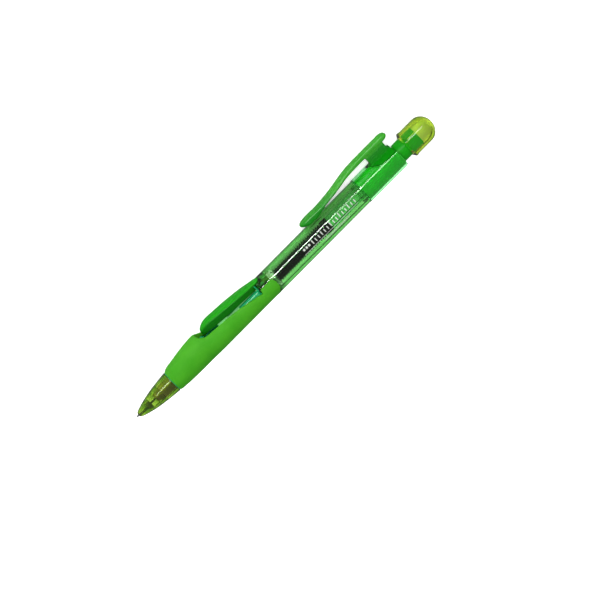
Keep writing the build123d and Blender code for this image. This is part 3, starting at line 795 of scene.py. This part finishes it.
def eraser_holder():
    """Neck and slotted cup that hold the eraser."""
    mesh = turned([
        (116.2, 2.3), (116.2, 3.0), (116.6, 3.3), (128.85, 3.3), (128.85, 3.75), (132.5, 3.75),
        (132.5, 3.7), (137.8, 3.7), (137.8, 3.0), (130.0, 3.0), (130.0, 0.0), (128.0, 0.0), (128.0, 2.3),
    ], 0.07)
    slits = []
    for turn in (45, 135):
        slit = prism(plan(134.0, 138.5, 0.3), (-4.5, 4.5), "xy")
        slit.transform(Matrix.Rotation(math.radians(turn), 4, "X"))
        slits.append(slit)
    mesh = combined(mesh, slits, "DIFFERENCE")
    rear = prism(plan(132.51, 150, BEYOND), (-BEYOND, BEYOND), "xy")
    cup = combined(mesh.copy(), [rear.copy()], "INTERSECT")
    piece("eraser_holder_cup", cup, "holder", "clip_green", ["eraser_holder"], CUP_LOOK)
    neck = combined(mesh, [rear], "DIFFERENCE")
    piece("eraser_holder_neck", neck, "holder", "clip_green", ["eraser_holder"],
          OWN_LOOKS["eraser_holder"])


def eraser():
    """Eraser with a worn, rounded end."""
    worn = [
        (141.3, 2.95), (141.9, 2.9), (142.4, 2.72), (142.75, 2.4), (142.92, 2.0), (143.0, 1.4), (143.0, 0),
    ]
    mesh = turned([(130.02, 0), (130.02, 2.93)] + worn, 0.1)
    piece("eraser_plug", mesh, "holder", "eraser_white", ["eraser"])


def inner_tubes():
    """The black magazine with the flange that the spring pushes, and the clear loading tube."""
    magazine = turned([
        (66.5, 1.6), (66.5, 1.85), (68.5, 1.85), (68.5, 2.1), (92.0, 2.1), (92.0, 2.6), (94.8, 2.6),
        (94.8, 2.0), (93.0, 2.0), (93.0, 1.6),
    ], 0.06)
    piece("magazine_tube", magazine, "feed", "black_plastic", ["lead_magazine"])
    loading = turned([
        (93.0, 1.6), (93.0, 1.98), (94.8, 1.98), (94.8, 2.55), (114.0, 2.55), (114.0, 2.2), (112.5, 1.6),
    ], 0.06)
    piece("loading_tube_clear", loading, "feed", "clear_green", ["loading_tube"],
          OWN_LOOKS["loading_tube"])


# ---- Print on the barrel ----------------------------------------------------------------
PRINT_TILT = math.radians(25)  # the print faces this far above the side
PRINT_UP = Vector((0, math.sin(PRINT_TILT), math.cos(PRINT_TILT)))
PRINT_OUT = Vector((0, -math.cos(PRINT_TILT), math.sin(PRINT_TILT)))
PRINT_R = (4.955, 4.975)
PRINT_INK = moulded("print_ink", shown(225, 232, 222), shown(205, 215, 204), 0.5)
PATCH_STEPS = 6  # round the barrel


def print_patch(x0, x1, v0, v1):
    """A thin curved plate on the barrel between two heights in the print's plane."""
    steps_x = max(1, round((x1 - x0) / LONGEST_SPAN))
    grids = []
    for r in PRINT_R:
        grid = []
        for i in range(steps_x + 1):
            for k in range(PATCH_STEPS + 1):
                turn = math.asin((v0 + (v1 - v0) * k / PATCH_STEPS) / BARREL_R)
                at = PRINT_UP * (r * math.sin(turn)) + PRINT_OUT * (r * math.cos(turn))
                grid.append((x0 + (x1 - x0) * i / steps_x, at.y, at.z))
        grids.append(grid)
    wide = PATCH_STEPS + 1
    cells = [(i * wide + k, i * wide + k + 1, (i + 1) * wide + k + 1, (i + 1) * wide + k)
             for i in range(steps_x) for k in range(PATCH_STEPS)]
    border = [i * wide for i in range(steps_x + 1)]
    border += [steps_x * wide + k for k in range(1, wide)]
    border += [i * wide + PATCH_STEPS for i in range(steps_x - 1, -1, -1)]
    border += list(range(PATCH_STEPS - 1, 0, -1))
    top = len(grids[0])
    faces = cells + [tuple(top + c for c in cell) for cell in cells]
    faces += [(a, b, b + top, a + top) for a, b in zip(border, border[1:] + border[:1])]
    return grids[0] + grids[1], faces


def print_marks():
    """Plain printed strokes: a long line, three squares, a scale of ticks and a row of dots."""
    plates = [print_patch(81.0, 107.0, -2.1, -1.98)]
    for k in range(3):
        plates.append(print_patch(81.6 + 1.2 * k, 82.4 + 1.2 * k, -0.9, -0.1))
    for k in range(15):
        top = 0.35 if k % 3 == 0 else -0.1
        plates.append(print_patch(85.8 + 1.45 * k, 86.2 + 1.45 * k, -1.4, top))
    for k in range(14):
        plates.append(print_patch(89.8 + 0.85 * k, 90.25 + 0.85 * k, -3.45, -2.95))
    verts, faces = [], []
    for plate_verts, plate_faces in plates:
        start = len(verts)
        verts += plate_verts
        faces += [tuple(start + i for i in face) for face in plate_faces]
    piece("print_marks", mesh_of(verts, faces), "pencil", "eraser_white", (), PRINT_INK)


barrel()
grip()
side_button()
nose_cone()
rear_collar()
clip()
eraser_holder()
eraser()
eraser_cap()
inner_tubes()
print_marks()

# ---- Floor, light and camera ------------------------------------------------------------
VIEW_RISE = math.radians(44.75)  # how far the view looks down on the desk
IMAGE_TURN = math.radians(45.22)  # the pencil's slope in the picture
PICTURE_WIDTH = 0.2086  # width of what is seen at the object
SENSOR = 36.0
LENS = 120.0
OFF_CENTRE = (0.00557, -0.01085)  # from the object's middle to the picture's middle, right and up
LIT_POINT = Vector((0, 0, 0.005))
DESK_HALF = 4.0
FLOOR_GLOW = 0.6  # the desk is a light table, so that shadows stay pale
SURROUNDINGS = 0.3


def camera():
    """A long lens that looks down on the pencil, which lies from lower left to upper right."""
    toward = Vector((0, -math.cos(VIEW_RISE), math.sin(VIEW_RISE)))
    side_up = ALONG.cross(toward) * -1
    right = ALONG * math.cos(IMAGE_TURN) - side_up * math.sin(IMAGE_TURN)
    up = ALONG * math.sin(IMAGE_TURN) + side_up * math.cos(IMAGE_TURN)
    middle = Vector((0, AXIS_POINT.y, AXIS_POINT.z)) + right * OFF_CENTRE[0] + up * OFF_CENTRE[1]
    data = bpy.data.cameras.new("camera")
    data.lens = LENS
    data.sensor_width = SENSOR
    data.clip_start = 0.01
    data.clip_end = 20
    cam = bpy.data.objects.new("camera", data)
    bpy.context.scene.collection.objects.link(cam)
    place = Matrix((right, up, toward)).transposed().to_4x4()
    place.translation = middle + toward * (PICTURE_WIDTH * LENS / SENSOR)
    cam.matrix_world = place
    bpy.context.scene.camera = cam


def softbox(name, direction, distance, width, height, power, mirrored=True, through=True):
    """An area light that faces the pencil.

    It can be left out of reflections (mirrored) and of what is seen through clear plastic (through).
    """
    data = bpy.data.lights.new(name, "AREA")
    data.shape = "RECTANGLE"
    data.size = width
    data.size_y = height
    data.energy = power
    light = bpy.data.objects.new(name, data)
    bpy.context.scene.collection.objects.link(light)
    direction = Vector(direction).normalized()
    light.location = LIT_POINT + direction * distance
    light.rotation_mode = "QUATERNION"
    light.rotation_quaternion = direction.to_track_quat("Z", "Y")
    light.visible_glossy = mirrored
    light.visible_transmission = through


def floor():
    """A plain pale desk with a very fine paper tooth."""
    corners = [(x, y, 0) for x, y in plan(-DESK_HALF, DESK_HALF, DESK_HALF)]
    mesh = bpy.data.meshes.new("floor")
    mesh.from_pydata(corners, [], [(0, 1, 2, 3)])
    desk = bpy.data.objects.new("floor", mesh)
    bpy.context.scene.collection.objects.link(desk)
    t = Tree("floor_paper")
    tooth = t.noise(2.0, (1, 1, 1), 3.0)
    color = t.mix(tooth, (0.9, 0.9, 0.9, 1), (0.92, 0.92, 0.92, 1))
    shell = t.add("BsdfPrincipled", Base_Color=color, Roughness=0.9, Normal=t.bump(tooth, 0.005),
                  Emission_Color=(1, 1, 1, 1), Emission_Strength=FLOOR_GLOW)
    mesh.materials.append(t.finish(shell.outputs[0]))
    desk.visible_glossy = False


def world(strength):
    """Even white surroundings."""
    bpy.context.scene.world = bpy.data.worlds.new("studio")
    bpy.context.scene.world.use_nodes = True
    back = bpy.context.scene.world.node_tree.nodes["Background"]
    back.inputs["Color"].default_value = (1, 1, 1, 1)
    back.inputs["Strength"].default_value = strength


camera()
floor()
world(SURROUNDINGS)
softbox("overhead", (0.0, 0.1, 1), 0.9, 3.0, 3.0, 32, mirrored=False, through=False)
softbox("front", (0.1, -1, 0.45), 0.8, 1.2, 0.7, 8, mirrored=False, through=False)
softbox("strip", (0, -0.889, 0.458), 0.5, 0.5, 0.08, 1.1)
softbox("glint", (-0.021, -0.889, 0.458), 0.5, 0.07, 0.075, 0.27)
bpy.context.scene.view_settings.view_transform = "Standard"
